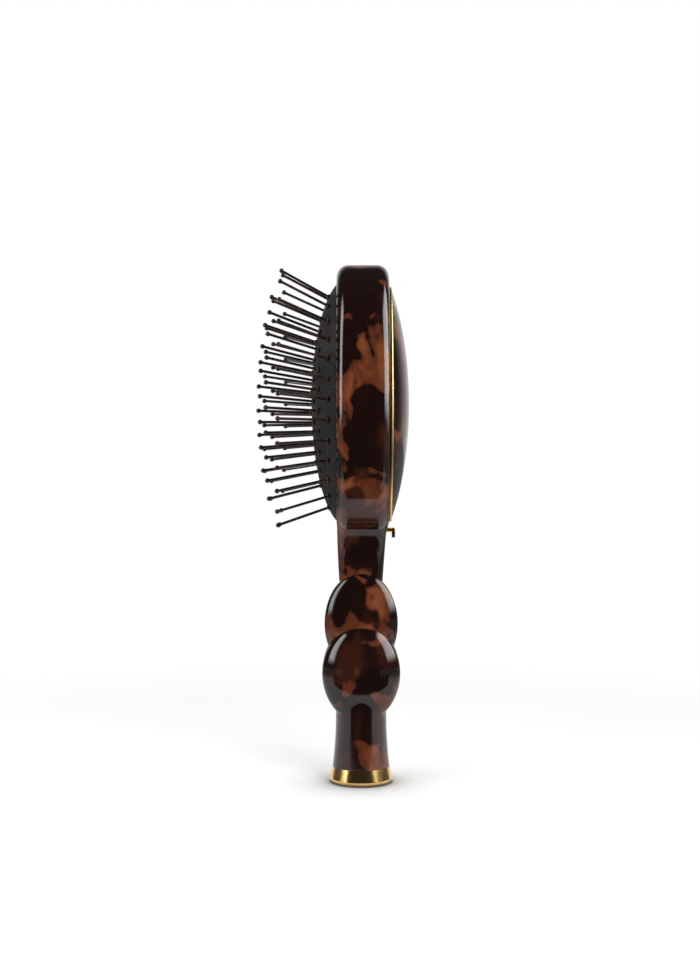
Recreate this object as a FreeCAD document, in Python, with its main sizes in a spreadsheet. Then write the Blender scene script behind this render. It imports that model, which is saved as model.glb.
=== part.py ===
"""Detangling brush: an air-cushion head on a two-bulb handle that stands on its own foot.

Lengths are in millimetres and angles in degrees. The origin is the centre of the foot's underside,
+Z is up, the pins point to -X and the domed back of the head faces +X.
"""
import FreeCAD, Part
import os
import Sketcher
from math import pi, radians, sqrt, tan
from FreeCAD import Placement, Rotation, Vector

SIZES = {
    # Head shell and neck
    "head_half_width": 34.0,
    "head_half_length": 60.5,
    "head_front": 11.0,
    "head_back": 12.4,
    "head_edge_radius": 5.4,
    "neck_overlap": 14.0,
    "neck_root_rise": 20.0,
    "neck_root_half_width": 19.5,
    "neck_root_inset": 0.3,
    "neck_waist_rise": 21.0,
    "neck_waist_half_width": 6.0,
    "neck_waist_front": 10.6,
    "neck_waist_back": 10.7,
    "neck_end_rise": 12.7,
    "neck_end_half_width": 5.6,
    "neck_end_front": 9.4,
    "neck_end_back": 9.2,
    "neck_corner_radius": 4.6,
    # Cushion: the opening in the shell, the rubber pad and the hoop that holds its skirt
    "cushion_drop": 1.3,
    "rim_side_width": 6.8,
    "rim_end_width": 7.3,
    "recess_depth": 8.0,
    "pad_crown": 11.3,
    "pad_sink": 4.7,
    "pad_wall": 1.8,
    "pad_clearance": 0.1,
    "skirt_wall": 1.4,
    "skirt_gap": 0.6,
    "hoop_wall": 2.0,
    "hoop_depth": 3.6,
    "hoop_clearance": 0.05,
    # Pins
    "pin_diameter": 1.2,
    "pin_ball_diameter": 2.15,
    "pin_exposed": 25.0,
    "pin_head_diameter": 2.8,
    "pin_head_thickness": 0.8,
    "pin_head_gap": 0.8,
    "pin_hole_clearance": 0.06,
    "pin_tilt_middle_angle": 4.6,
    "pin_tilt_end_angle": 27.0,
    "pin_splay_side_angle": 32.6,
    "outer_pin_count": 13,
    "second_pin_count": 10,
    "third_pin_count": 7,
    "centre_pin_count": 4,
    "centre_pin_pitch": 9.0,
    "pin_side_inset": 3.0,
    "pin_end_inset": 5.4,
    "pin_ring_side_step": 6.9,
    "pin_ring_end_step": 9.4,
    # Back cover, its trim ring and screws
    "cover_drop": 2.0,
    "cover_side_inset": 6.0,
    "cover_end_inset": 9.0,
    "cover_crown": 8.0,
    "cover_sink": 22.6,
    "cover_wall": 2.2,
    "spigot_inset": 6.25,
    "spigot_wall": 2.0,
    "spigot_depth": 6.0,
    "spigot_clearance": 0.15,
    "pocket_depth": 11.4,
    "ring_lip": 1.3,
    "ring_thickness": 1.2,
    "ring_edge_radius": 0.5,
    "boss_radius": 3.2,
    "boss_side_inset": 10.75,
    "boss_end_inset": 19.25,
    "boss_clearance": 0.1,
    "screw_radius": 1.3,
    "screw_length": 12.0,
    "screw_head_radius": 2.6,
    "screw_head_height": 1.8,
    "screw_clearance": 0.05,
    # Hook on the back of the neck
    "hook_rise": 8.0,
    "hook_stand_off": 3.2,
    "hook_stem_radius": 1.1,
    "hook_stem_depth": 5.7,
    "hook_lip_thickness": 1.5,
    "hook_lip_width": 3.2,
    "hook_lip_length": 4.6,
    "hook_edge_radius": 0.45,
    "hook_clearance": 0.05,
    # Handle bulbs and stem
    "lower_bulb_height": 49.3,
    "lower_bulb_half_depth": 17.4,
    "lower_bulb_half_length": 21.8,
    "lower_bulb_straight": 5.5,
    "lower_bulb_end": 9.0,
    "bulb_pitch": 22.0,
    "upper_bulb_half_depth": 16.4,
    "upper_bulb_half_length": 22.7,
    "upper_bulb_straight": 3.0,
    "upper_bulb_end": 6.0,
    "seat_clearance": 0.1,
    "stem_top_drop": 7.3,
    "stem_top_half_depth": 11.7,
    "stem_top_half_width": 13.4,
    "stem_waist_rise": 16.9,
    "stem_waist_half_depth": 11.5,
    "stem_waist_half_width": 12.4,
    "stem_foot_radius": 12.8,
    # Tie rod and its fixings
    "rod_radius": 2.5,
    "rod_tail": 1.5,
    "rod_end_gap": 1.0,
    "rod_clearance": 0.2,
    "insert_wall": 1.05,
    "insert_gap": 1.5,
    "insert_length": 13.5,
    "insert_clearance": 0.05,
    "thread_clearance": 0.05,
    "stem_bore_radius": 10.0,
    "stem_bore_depth": 14.9,
    "washer_radius": 6.0,
    "washer_thickness": 1.5,
    "nut_half_flats": 4.0,
    "nut_height": 4.0,
    # Foot
    "foot_height": 7.1,
    "foot_radius": 14.4,
    "foot_edge_radius": 1.3,
    "foot_lift": 0.5,
    "foot_floor": 2.4,
    "foot_spigot_height": 5.0,
    "foot_spigot_wall": 1.7,
    "foot_clearance": 0.1,
    "ballast_height": 9.0,
    "foot_pad_inset": 2.8,
    "foot_pad_thickness": 1.1,
}

# Sizes and places that follow from the driving ones
DERIVED = {
    # Heights, each measured from what it stands on
    "upper_bulb_height": "lower_bulb_height + bulb_pitch",
    "neck_end_height": "upper_bulb_height + neck_end_rise",
    "neck_waist_height": "neck_end_height + neck_waist_rise",
    "neck_root_height": "neck_waist_height + neck_root_rise",
    "head_height": "neck_root_height - neck_overlap + head_half_length",
    "cushion_height": "head_height - cushion_drop",
    "cover_height": "head_height - cover_drop",
    "hook_height": "neck_waist_height + hook_rise",
    "stem_top_height": "lower_bulb_height - stem_top_drop",
    "stem_waist_height": "foot_height + stem_waist_rise",
    "stem_bore_top": "foot_height + stem_bore_depth",
    "washer_bottom": "stem_bore_top - washer_thickness",
    "nut_bottom": "washer_bottom - nut_height",
    "rod_bottom": "nut_bottom - rod_tail",
    "insert_bottom": "upper_bulb_height + upper_bulb_half_length + insert_gap",
    "insert_top": "insert_bottom + insert_length",
    "rod_top": "insert_top - rod_end_gap",
    "spigot_top": "foot_height + foot_spigot_height",
    # Depths, from the handle's axis towards the back
    "neck_root_front": "head_front - neck_root_inset",
    "neck_root_back": "head_back - neck_root_inset",
    "recess_floor": "recess_depth - head_front",
    "pocket_floor": "head_back - pocket_depth",
    "boss_foot": "pocket_floor + boss_clearance",
    "ring_back": "head_back + ring_thickness",
    "cover_back": "ring_back + cover_crown",
    "hook_root": "neck_root_back - hook_stem_depth",
    "hook_back": "neck_root_back + hook_stand_off",
    # Cushion and pins
    "opening_half_width": "head_half_width - rim_side_width",
    "opening_half_length": "head_half_length - rim_end_width",
    "pad_centre": "pad_sink - head_front",
    "pad_depth": "pad_crown + pad_sink",
    "pad_spread": "1 / sqrt(1 - (pad_sink / pad_depth) ^ 2)",
    "pad_half_width": "(opening_half_width - pad_clearance) * pad_spread",
    "pad_half_length": "(opening_half_length - pad_clearance) * pad_spread",
    "skirt_depth": "recess_depth - skirt_gap",
    "skirt_inset": "pad_clearance + skirt_wall",
    "hoop_inset": "skirt_inset + hoop_clearance",
    "hoop_hole_inset": "hoop_inset + hoop_wall",
    "pin_root": "pad_wall + pin_head_gap + pin_head_thickness",
    "pin_tip": "pin_exposed - pin_ball_diameter / 2",
    # Back cover
    "cover_half_width": "head_half_width - cover_side_inset",
    "cover_half_length": "head_half_length - cover_end_inset",
    "cover_depth": "cover_crown + cover_sink",
    "cover_spread": "1 / sqrt(1 - (cover_sink / cover_depth) ^ 2)",
    "cover_full_width": "cover_half_width * cover_spread",
    "cover_full_length": "cover_half_length * cover_spread",
    "spigot_half_width": "cover_half_width - spigot_inset",
    "spigot_half_length": "cover_half_length - spigot_inset",
    "pocket_half_width": "spigot_half_width + spigot_clearance",
    "pocket_half_length": "spigot_half_length + spigot_clearance",
    "ring_half_width": "cover_half_width + ring_lip",
    "ring_half_length": "cover_half_length + ring_lip",
    "boss_spread": "spigot_half_width - boss_side_inset",
    "boss_rise": "spigot_half_length - boss_end_inset",
    # Bores and what goes into them
    "screw_bore": "screw_radius + screw_clearance",
    "hook_bore": "hook_stem_radius + hook_clearance",
    "rod_bore": "rod_radius + rod_clearance",
    "thread_bore": "rod_radius + thread_clearance",
    "insert_radius": "thread_bore + insert_wall",
    "insert_hole_radius": "insert_radius + insert_clearance",
    "foot_spigot_radius": "stem_bore_radius - foot_clearance",
    "foot_cup_radius": "foot_spigot_radius - foot_spigot_wall",
    "ballast_radius": "foot_cup_radius - foot_clearance",
    "foot_pad_radius": "foot_radius - foot_pad_inset",
    "foot_recess_radius": "foot_pad_radius + foot_clearance",
}

# Rings of pins, from the rim inwards, each with a count of pins on one half of it
PIN_RINGS = ("outer", "second", "third")

# An oval is drawn flat with its long axis on X: upright for the head, lengthwise in Y for the stem
UPRIGHT = Rotation(Vector(0, 1, 0), -90)
LONG_IN_Y = Rotation(Vector(0, 0, 1), 90)

doc = FreeCAD.newDocument("detangling_brush")
sheet = doc.addObject("Spreadsheet::Sheet", "dim")
cells = {alias: str(value) for alias, value in SIZES.items()}
cells.update({alias: f"={formula}" for alias, formula in DERIVED.items()})
for row, (alias, content) in enumerate(cells.items(), 1):
    sheet.set(f"A{row}", alias)
    sheet.set(f"B{row}", content)
    sheet.setAlias(f"B{row}", alias)
doc.recompute()

parts = {}


def size(alias):
    """The number held by one cell of the sheet."""
    return float(getattr(sheet, alias))


def bind(obj, formulas):
    """Ties properties of an object to formulas over the sheet's cells."""
    for prop, formula in formulas.items():
        obj.setExpression(prop, formula)
    return obj


def add(kind, name, formulas=None, placement=None):
    """A new document object with its formulas and, if given, its resting placement."""
    obj = doc.addObject(kind, name)
    if placement is not None:
        obj.Placement = placement
    return bind(obj, formulas or {})


def finish(name, obj):
    """Names an object as a finished sub-part."""
    obj.Label = name
    parts[name] = obj
    return obj


def fuse(name, *shapes):
    """One solid out of several."""
    obj = doc.addObject("Part::MultiFuse", name)
    obj.Shapes = list(shapes)
    return obj


def cut(name, base, *tools):
    """A base solid with one or more tools taken out of it."""
    obj = doc.addObject("Part::Cut", name)
    obj.Base = base
    obj.Tool = tools[0] if len(tools) == 1 else fuse(name + "_tools", *tools)
    return obj


def common(name, base, tool):
    """What two solids share."""
    obj = doc.addObject("Part::Common", name)
    obj.Base = base
    obj.Tool = tool
    return obj


def rounded(name, base, radius, picks):
    """Base with a fillet on each edge that picks accepts."""
    doc.recompute()
    edges = [i for i, edge in enumerate(base.Shape.Edges, 1) if picks(edge)]
    obj = doc.addObject("Part::Fillet", name)
    obj.Base = base
    obj.Edges = [(i, radius, radius) for i in edges]
    return obj


def extrude(name, outline, direction, length, both_ways=False):
    """A solid swept straight from a closed outline."""
    obj = doc.addObject("Part::Extrusion", name)
    obj.Base = outline
    obj.DirMode = "Custom"
    obj.Dir = direction
    obj.Solid = True
    obj.Symmetric = both_ways
    return bind(obj, {"LengthFwd": length})


def oval_plate(name, half_length, half_width, height, start, depth):
    """An upright oval plate whose flat face lies at X = start and which grows towards +X."""
    rim = add(
        "Part::Ellipse",
        name + "_rim",
        {
            "MajorRadius": half_length,
            "MinorRadius": half_width,
            "Placement.Base.x": start,
            "Placement.Base.z": height,
        },
        Placement(Vector(), UPRIGHT),
    )
    return extrude(name, rim, Vector(1, 0, 0), depth)


def ellipsoid(name, half_depth, half_width, half_height, centre):
    """A whole ellipsoid about a centre given as three formulas."""
    obj = add(
        "Part::Ellipsoid",
        name,
        {
            "Radius1": half_height,
            "Radius2": half_depth,
            "Radius3": half_width,
            "Placement.Base.x": centre[0],
            "Placement.Base.y": centre[1],
            "Placement.Base.z": centre[2],
        },
    )
    obj.Angle1 = -90
    obj.Angle2 = 90
    obj.Angle3 = 360
    return obj


def upright_cylinder(name, radius, bottom, height):
    """A cylinder on the Z axis."""
    return add("Part::Cylinder", name, {"Radius": radius, "Height": height, "Placement.Base.z": bottom})


def bar_along_x(name, radius, length, start, y, z):
    """A cylinder that runs towards +X from a point given as three formulas."""
    return add(
        "Part::Cylinder",
        name,
        {
            "Radius": radius,
            "Height": length,
            "Placement.Base.x": start,
            "Placement.Base.y": y,
            "Placement.Base.z": z,
        },
        Placement(Vector(), Rotation(Vector(0, 1, 0), 90)),
    )


def bulb(prefix, name, growth=0.0):
    """A handle bulb, grown all round by a clearance: an egg outline with a rounded end each side."""
    depth = size(f"{prefix}_half_depth") + growth
    length = size(f"{prefix}_half_length") + growth
    straight = size(f"{prefix}_straight")
    tip = straight + size(f"{prefix}_end") + growth
    profile = [
        Part.LineSegment(Vector(0, -straight, length), Vector(0, straight, length)).toShape(),
        Part.LineSegment(Vector(0, -tip, 0), Vector(0, tip, 0)).toShape(),
    ]
    for side in (-1, 1):
        oval = Part.Ellipse(
            Vector(0, side * straight, length), Vector(0, side * tip, 0), Vector(0, side * straight, 0)
        )
        profile.append(Part.ArcOfEllipse(oval, 0, pi / 2).toShape())
    face = Part.Face(Part.Wire(Part.__sortEdges__(profile)))
    turned = face.revolve(Vector(), Vector(0, 1, 0), 360)
    flatten = FreeCAD.Matrix()
    flatten.scale(depth / length, 1, 1)
    obj = doc.addObject("Part::Feature", name)
    obj.Shape = turned.transformGeometry(flatten)
    obj.Placement = Placement(Vector(0, 0, size(f"{prefix}_height")), Rotation())
    return obj


def neck_section(body, place):
    """A rounded rectangle across the neck, tied to the sizes of one of its three stations."""
    sketch = body.newObject("Sketcher::SketchObject", f"neck_{place}_outline")
    floor = next(plane for plane in body.Origin.OriginFeatures if plane.Role == "XY_Plane")
    sketch.AttachmentSupport = [(floor, "")]
    sketch.MapMode = "FlatFace"
    front = -size(f"neck_{place}_front")
    back = size(f"neck_{place}_back")
    half = size(f"neck_{place}_half_width")
    corner = size("neck_corner_radius")
    # Corner centres in order round the outline, with the angle at which each corner starts
    corners = [
        (back - corner, half - corner, 0.0),
        (front + corner, half - corner, pi / 2),
        (front + corner, corner - half, pi),
        (back - corner, corner - half, 3 * pi / 2),
    ]
    axis = Vector(0, 0, 1)
    arcs = []
    for x, y, start in corners:
        circle = Part.Circle(Vector(x, y, 0), axis, corner)
        arcs.append(sketch.addGeometry(Part.ArcOfCircle(circle, start, start + pi / 2)))
    sides = []
    for i, arc in enumerate(arcs):
        begin = sketch.Geometry[arc].EndPoint
        end = sketch.Geometry[arcs[(i + 1) % 4]].StartPoint
        sides.append(sketch.addGeometry(Part.LineSegment(begin, end)))
    constraints = []
    for i, side in enumerate(sides):
        constraints.append(Sketcher.Constraint("Tangent", arcs[i], 2, side, 1))
        constraints.append(Sketcher.Constraint("Tangent", side, 2, arcs[(i + 1) % 4], 1))
        constraints.append(Sketcher.Constraint("Horizontal" if i % 2 == 0 else "Vertical", side))
    for arc in arcs[1:]:
        constraints.append(Sketcher.Constraint("Equal", arcs[0], arc))
    sketch.addConstraint(constraints)
    driven = {
        "corner": Sketcher.Constraint("Radius", arcs[0], corner),
        "back": Sketcher.Constraint("DistanceX", -1, 1, sides[3], 1, back),
        "front": Sketcher.Constraint("DistanceX", sides[1], 1, -1, 1, -front),
        "right": Sketcher.Constraint("DistanceY", -1, 1, sides[0], 1, half),
        "left": Sketcher.Constraint("DistanceY", sides[2], 1, -1, 1, half),
    }
    cells = {
        "corner": "dim.neck_corner_radius",
        "back": f"dim.neck_{place}_back",
        "front": f"dim.neck_{place}_front",
        "right": f"dim.neck_{place}_half_width",
        "left": f"dim.neck_{place}_half_width",
    }
    for name, constraint in driven.items():
        index = sketch.addConstraint(constraint)
        sketch.renameConstraint(index, name)
        sketch.setExpression(f"Constraints.{name}", cells[name])
    sketch.setExpression("AttachmentOffset.Base.z", f"dim.neck_{place}_height")
    return sketch


def make_neck():
    """The neck, lofted from its seat on the upper bulb up into the head."""
    body = doc.addObject("PartDesign::Body", "neck")
    sections = [neck_section(body, place) for place in ("end", "waist", "root")]
    doc.recompute()
    loft = body.newObject("PartDesign::AdditiveLoft", "neck_loft")
    loft.Profile = sections[0]
    loft.Sections = sections[1:]
    return body


# Signs that place the four cover screws
BOSS_SIDES = [(y, z) for y in ("-1", "1") for z in ("-1", "1")]


def boss_place(y_sign, z_sign):
    """The Y and Z formulas of one of the four cover screws."""
    return f"{y_sign} * dim.boss_spread", f"dim.cover_height + {z_sign} * dim.boss_rise"


def make_head_shell():
    """The head and neck in one piece, open in front for the cushion and behind for the cover."""
    plate = oval_plate(
        "head_plate",
        "dim.head_half_length",
        "dim.head_half_width",
        "dim.head_height",
        "-dim.head_front",
        "dim.head_front + dim.head_back",
    )
    rim_edges = rounded("head_rim", plate, size("head_edge_radius"), lambda edge: edge.isClosed())
    solid = fuse("head_solid", rim_edges, make_neck())
    # The recess starts in front of the face, so that the neck stays clear of the cushion
    recess = oval_plate(
        "cushion_recess",
        "dim.opening_half_length",
        "dim.opening_half_width",
        "dim.cushion_height",
        "-dim.head_front - dim.pad_crown",
        "dim.pad_crown + dim.recess_depth",
    )
    pocket = oval_plate(
        "cover_pocket",
        "dim.pocket_half_length",
        "dim.pocket_half_width",
        "dim.cover_height",
        "dim.pocket_floor",
        "dim.pocket_depth",
    )
    seat = bulb("upper_bulb", "neck_seat", size("seat_clearance"))
    insert_hole = upright_cylinder(
        "insert_hole",
        "dim.insert_hole_radius",
        "dim.neck_end_height",
        "dim.insert_top - dim.neck_end_height",
    )
    hook_hole = bar_along_x(
        "hook_hole",
        "dim.hook_bore",
        "dim.hook_back - dim.hook_root",
        "dim.hook_root",
        "0",
        "dim.hook_height",
    )
    web = "dim.pocket_floor - dim.recess_floor"
    web_holes = []
    for number, (y_sign, z_sign) in enumerate(BOSS_SIDES, 1):
        y, z = boss_place(y_sign, z_sign)
        hole = bar_along_x(f"web_hole_{number}", "dim.screw_bore", web, "dim.recess_floor", y, z)
        web_holes.append(hole)
    tools = [recess, pocket, seat, insert_hole, hook_hole]
    finish("head_shell", cut("head_shell", solid, *tools, *web_holes))


def pin_directions():
    """Root point and outward direction of every pin, listed by node name."""
    depth = size("pad_depth")
    width = size("pad_half_width")
    length = size("pad_half_length")
    centre = Vector(size("pad_centre"), 0, size("cushion_height"))

    def pin(y, rise):
        """A pin that stands on the dome at a sideways place and a rise above its middle."""
        height = depth * sqrt(1 - (y / width) ** 2 - (rise / length) ** 2)
        fan = size("pin_tilt_end_angle") * rise / size("opening_half_length")
        tilt = radians(size("pin_tilt_middle_angle") + fan)
        splay = radians(size("pin_splay_side_angle") * y / size("opening_half_width"))
        return centre + Vector(-height, y, rise), Vector(-1, tan(splay), tan(tilt)).normalize()

    nodes = {}
    for number, ring in enumerate(PIN_RINGS):
        end_inset = size("pin_end_inset") + number * size("pin_ring_end_step")
        side_inset = size("pin_side_inset") + number * size("pin_ring_side_step")
        half_length = size("opening_half_length") - end_inset
        half_width = size("opening_half_width") - side_inset
        oval = Part.Ellipse(Vector(), half_length, half_width)
        half_way_round = oval.length(0, pi)
        count = int(size(f"{ring}_pin_count"))
        for i in range(count):
            point = oval.value(oval.parameterAtDistance((i + 0.5) * half_way_round / count, 0))
            nodes[f"{ring}_pins_{i + 1:02d}"] = [pin(point.y, -point.x), pin(-point.y, -point.x)]
    count = int(size("centre_pin_count"))
    for i in range(count):
        rise = (i - (count - 1) / 2) * size("centre_pin_pitch")
        nodes[f"centre_pin_{i + 1:02d}"] = [pin(0, rise)]
    return nodes


def make_pins():
    """One pin, its copies in every ring, and the holes that they need in the pad."""
    shaft = upright_cylinder(
        "pin_shaft", "dim.pin_diameter / 2", "-dim.pin_root", "dim.pin_root + dim.pin_tip"
    )
    ball = add(
        "Part::Sphere",
        "pin_ball",
        {"Radius": "dim.pin_ball_diameter / 2", "Placement.Base.z": "dim.pin_tip"},
    )
    head = upright_cylinder(
        "pin_head", "dim.pin_head_diameter / 2", "-dim.pin_root", "dim.pin_head_thickness"
    )
    pin = fuse("pin", shaft, ball, head)
    doc.recompute()
    radius = size("pin_diameter") / 2 + size("pin_hole_clearance")
    root = size("pin_root")
    length = root + size("pin_tip")
    holes = []
    for name, pins in pin_directions().items():
        copies = []
        for point, direction in pins:
            copies.append(pin.Shape.copy())
            copies[-1].Placement = Placement(point, Rotation(Vector(0, 0, 1), direction))
            holes.append(Part.makeCylinder(radius, length, point - direction * root, direction))
        node = finish(name, doc.addObject("Part::Feature", name))
        node.Shape = Part.Compound(copies)
    drill = doc.addObject("Part::Feature", "pin_holes")
    drill.Shape = Part.Compound(holes)
    return drill


def make_cushion(pin_holes):
    """The domed rubber pad, whose skirt goes down into the recess, and the hoop inside the skirt."""
    centre = ("dim.pad_centre", "0", "dim.cushion_height")
    outer = ellipsoid("pad_outer", "dim.pad_depth", "dim.pad_half_width", "dim.pad_half_length", centre)
    inner = ellipsoid(
        "pad_inner",
        "dim.pad_depth - dim.pad_wall",
        "dim.pad_half_width - dim.pad_wall",
        "dim.pad_half_length - dim.pad_wall",
        centre,
    )
    front = add(
        "Part::Box",
        "pad_front",
        {
            "Length": "dim.pad_depth",
            "Width": "2 * dim.head_half_width",
            "Height": "2 * dim.head_half_length",
            "Placement.Base.x": "-dim.head_front - dim.pad_depth",
            "Placement.Base.y": "-dim.head_half_width",
            "Placement.Base.z": "dim.cushion_height - dim.head_half_length",
        },
    )

    def plug(name, inset, start, depth):
        """An oval plug, smaller than the opening by an inset all round."""
        return oval_plate(
            name,
            f"dim.opening_half_length - {inset}",
            f"dim.opening_half_width - {inset}",
            "dim.cushion_height",
            start,
            depth,
        )

    skirt_outer = plug("skirt_outer", "dim.pad_clearance", "-dim.head_front", "dim.skirt_depth")
    skirt_inner = plug("skirt_inner", "dim.skirt_inset", "-dim.head_front", "dim.skirt_depth")
    solid = fuse("pad_solid", common("pad_dome", outer, front), skirt_outer)
    hollow = fuse("pad_hollow", common("pad_air", inner, front), skirt_inner)
    finish("cushion_pad", cut("cushion_pad", cut("pad_bladder", solid, hollow), pin_holes))

    hoop_front = "dim.recess_floor - dim.hoop_depth"
    hoop_outer = plug("hoop_outer", "dim.hoop_inset", hoop_front, "dim.hoop_depth")
    hoop_hole = plug("hoop_hole", "dim.hoop_hole_inset", hoop_front, "dim.hoop_depth")
    finish("cushion_hoop", cut("cushion_hoop", hoop_outer, hoop_hole))


def make_back_cover():
    """The domed cover, with a spigot and four screw bosses that reach into the shell's pocket."""

    def dome(name, inset):
        """The whole ellipsoid that the cover is a cap of, drawn in by an inset all round."""
        return ellipsoid(
            name,
            f"dim.cover_depth - {inset}",
            f"dim.cover_full_width - {inset}",
            f"dim.cover_full_length - {inset}",
            ("dim.ring_back - dim.cover_sink", "0", "dim.cover_height"),
        )

    def plug(name, inset, start, depth):
        """An oval plug, smaller than the spigot by an inset all round."""
        return oval_plate(
            name,
            f"dim.spigot_half_length - {inset}",
            f"dim.spigot_half_width - {inset}",
            "dim.cover_height",
            start,
            depth,
        )

    behind = add(
        "Part::Box",
        "cover_space",
        {
            "Length": "dim.cover_depth",
            "Width": "2 * dim.head_half_width",
            "Height": "2 * dim.head_half_length",
            "Placement.Base.x": "dim.ring_back",
            "Placement.Base.y": "-dim.head_half_width",
            "Placement.Base.z": "dim.cover_height - dim.head_half_length",
        },
    )
    cap = common("cover_cap", dome("cover_outer", "0"), behind)
    skin = cut("cover_skin", cap, dome("cover_inner", "dim.cover_wall"))

    spigot_front = "dim.ring_back - dim.spigot_depth"
    spigot_reach = "dim.spigot_depth + dim.cover_crown"
    spigot_outer = plug("spigot_outer", "0", spigot_front, spigot_reach)
    spigot_hole = plug("spigot_hole", "dim.spigot_wall", spigot_front, spigot_reach)
    posts = [cut("spigot_tube", spigot_outer, spigot_hole)]
    threads = []
    reach = "dim.cover_back - dim.boss_foot"
    for number, (y_sign, z_sign) in enumerate(BOSS_SIDES, 1):
        y, z = boss_place(y_sign, z_sign)
        posts.append(bar_along_x(f"boss_{number}", "dim.boss_radius", reach, "dim.boss_foot", y, z))
        thread = ("dim.screw_bore", "dim.screw_length", "dim.recess_floor", y, z)
        threads.append(bar_along_x(f"boss_hole_{number}", *thread))

    # The posts stop half way into the skin, and below it they stay inside the spigot's outline
    roots = common("cover_roots", dome("cover_core", "dim.cover_wall / 2"), behind)
    below = plug("cover_inside", "0", "dim.pocket_floor", "dim.pocket_depth + dim.ring_thickness")
    envelope = fuse("cover_envelope", roots, below)
    frame = common("cover_frame", fuse("cover_posts", *posts), envelope)
    finish("back_cover", cut("back_cover", fuse("cover_solid", skin, frame), *threads))


def make_cover_screws():
    """The four screws that go through the shell's web into the cover's bosses."""
    screws = []
    seat = "dim.recess_floor - dim.screw_head_height"
    for number, (y_sign, z_sign) in enumerate(BOSS_SIDES, 1):
        y, z = boss_place(y_sign, z_sign)
        shank = ("dim.screw_radius", "dim.screw_length", "dim.recess_floor", y, z)
        head = ("dim.screw_head_radius", "dim.screw_head_height", seat, y, z)
        screw = fuse(
            f"screw_{number}",
            bar_along_x(f"shank_{number}", *shank),
            bar_along_x(f"screw_head_{number}", *head),
        )
        screws.append(screw)
    group = finish("cover_screws", doc.addObject("Part::Compound", "cover_screws"))
    group.Links = screws


def make_trim_ring():
    """The thin metal ring between the shell and the cover."""

    def band(name, half_length, half_width):
        """An oval plug as thick as the ring, on the back face of the shell."""
        height = "dim.cover_height"
        return oval_plate(name, half_length, half_width, height, "dim.head_back", "dim.ring_thickness")

    outer = band("ring_outer", "dim.ring_half_length", "dim.ring_half_width")
    soft = rounded("ring_band", outer, size("ring_edge_radius"), lambda edge: edge.isClosed())
    hole = band("ring_hole", "dim.pocket_half_length", "dim.pocket_half_width")
    finish("trim_ring", cut("trim_ring", soft, hole))


def make_neck_hook():
    """The small hook on the back of the neck: a round stem and a lip that hangs from it."""
    stem = bar_along_x(
        "hook_stem",
        "dim.hook_stem_radius",
        "dim.hook_back - dim.hook_root - dim.hook_lip_thickness / 2",
        "dim.hook_root",
        "0",
        "dim.hook_height",
    )
    lip = add(
        "Part::Box",
        "hook_lip",
        {
            "Length": "dim.hook_lip_thickness",
            "Width": "dim.hook_lip_width",
            "Height": "dim.hook_lip_length",
            "Placement.Base.x": "dim.hook_back - dim.hook_lip_thickness",
            "Placement.Base.y": "-dim.hook_lip_width / 2",
            "Placement.Base.z": "dim.hook_height + dim.hook_stem_radius - dim.hook_lip_length",
        },
    )
    soft = rounded("hook_lip_soft", lip, size("hook_edge_radius"), lambda edge: True)
    finish("neck_hook", fuse("neck_hook", stem, soft))


def make_upper_bulb():
    """The upper bulb, hollowed below to sit on the lower one and bored for the tie rod."""
    solid = bulb("upper_bulb", "upper_bulb_solid")
    seat = bulb("lower_bulb", "bulb_seat", size("seat_clearance"))
    bore = upright_cylinder(
        "upper_bore",
        "dim.rod_bore",
        "dim.upper_bulb_height - dim.upper_bulb_half_length",
        "2 * dim.upper_bulb_half_length",
    )
    finish("upper_bulb", cut("upper_bulb_bored", solid, seat, bore))


def make_lower_bulb():
    """The lower bulb and the stem that runs down from it to the foot, in one piece."""
    stations = [
        ("top", "dim.stem_top_half_width", "dim.stem_top_half_depth", "dim.stem_top_height"),
        ("waist", "dim.stem_waist_half_width", "dim.stem_waist_half_depth", "dim.stem_waist_height"),
        ("foot", "dim.stem_foot_radius", "dim.stem_foot_radius", "dim.foot_height"),
    ]
    sections = []
    for place, half_width, half_depth, height in stations:
        formulas = {"MajorRadius": half_width, "MinorRadius": half_depth, "Placement.Base.z": height}
        turned = Placement(Vector(), LONG_IN_Y)
        sections.append(add("Part::Ellipse", f"stem_{place}", formulas, turned))
    stem = doc.addObject("Part::Loft", "stem")
    stem.Sections = sections
    stem.Solid = True
    solid = fuse("lower_solid", bulb("lower_bulb", "lower_bulb_solid"), stem)
    rod_bore = upright_cylinder(
        "lower_bore",
        "dim.rod_bore",
        "dim.foot_height",
        "dim.lower_bulb_height + dim.lower_bulb_half_length - dim.foot_height",
    )
    wide_bore = upright_cylinder(
        "stem_bore", "dim.stem_bore_radius", "dim.foot_height", "dim.stem_bore_depth"
    )
    finish("lower_bulb_stem", cut("lower_bulb_stem", solid, rod_bore, wide_bore))


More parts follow.
